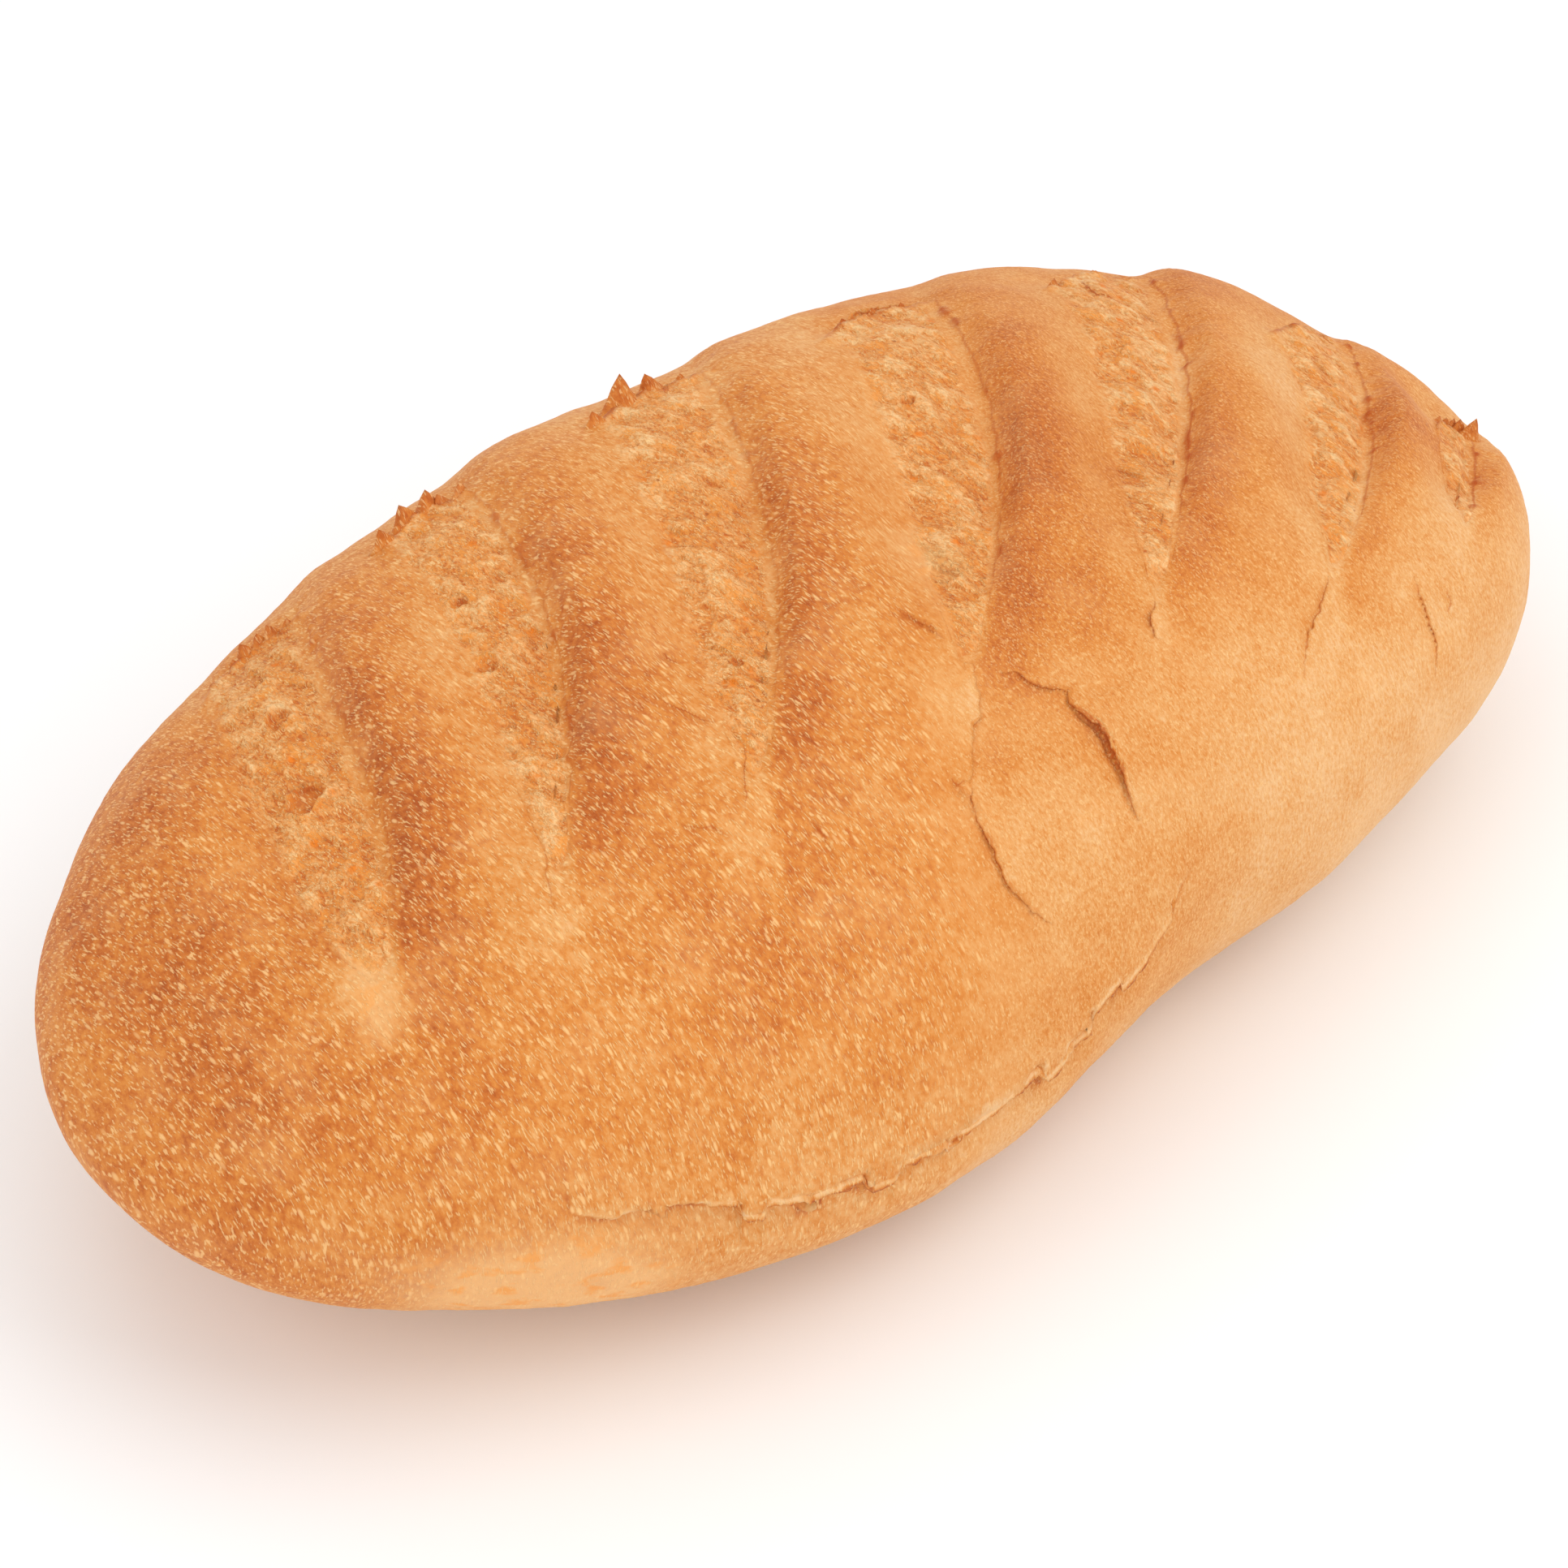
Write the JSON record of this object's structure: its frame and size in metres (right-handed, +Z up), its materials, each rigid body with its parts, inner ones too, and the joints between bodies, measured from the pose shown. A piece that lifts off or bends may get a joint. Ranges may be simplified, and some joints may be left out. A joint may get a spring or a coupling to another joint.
{
  "type": "bloomer loaf",
  "caption": "Oval loaf of white bread with slanting cuts across its domed crown, ribs of crust between them, and a flat base to rest on.",
  "frame": {"origin": "Middle of the flat base that the loaf rests on.", "axes": "+Z up out of the base, X along the loaf with its broader end at -X, -Y the near side of the picture."},
  "size_m": [0.2838, 0.163, 0.0864],
  "materials": {
    "crust": null
  },
  "bodies": {
    "root": {"bloomer_loaf": "crust"}
  },
  "joints": []
}
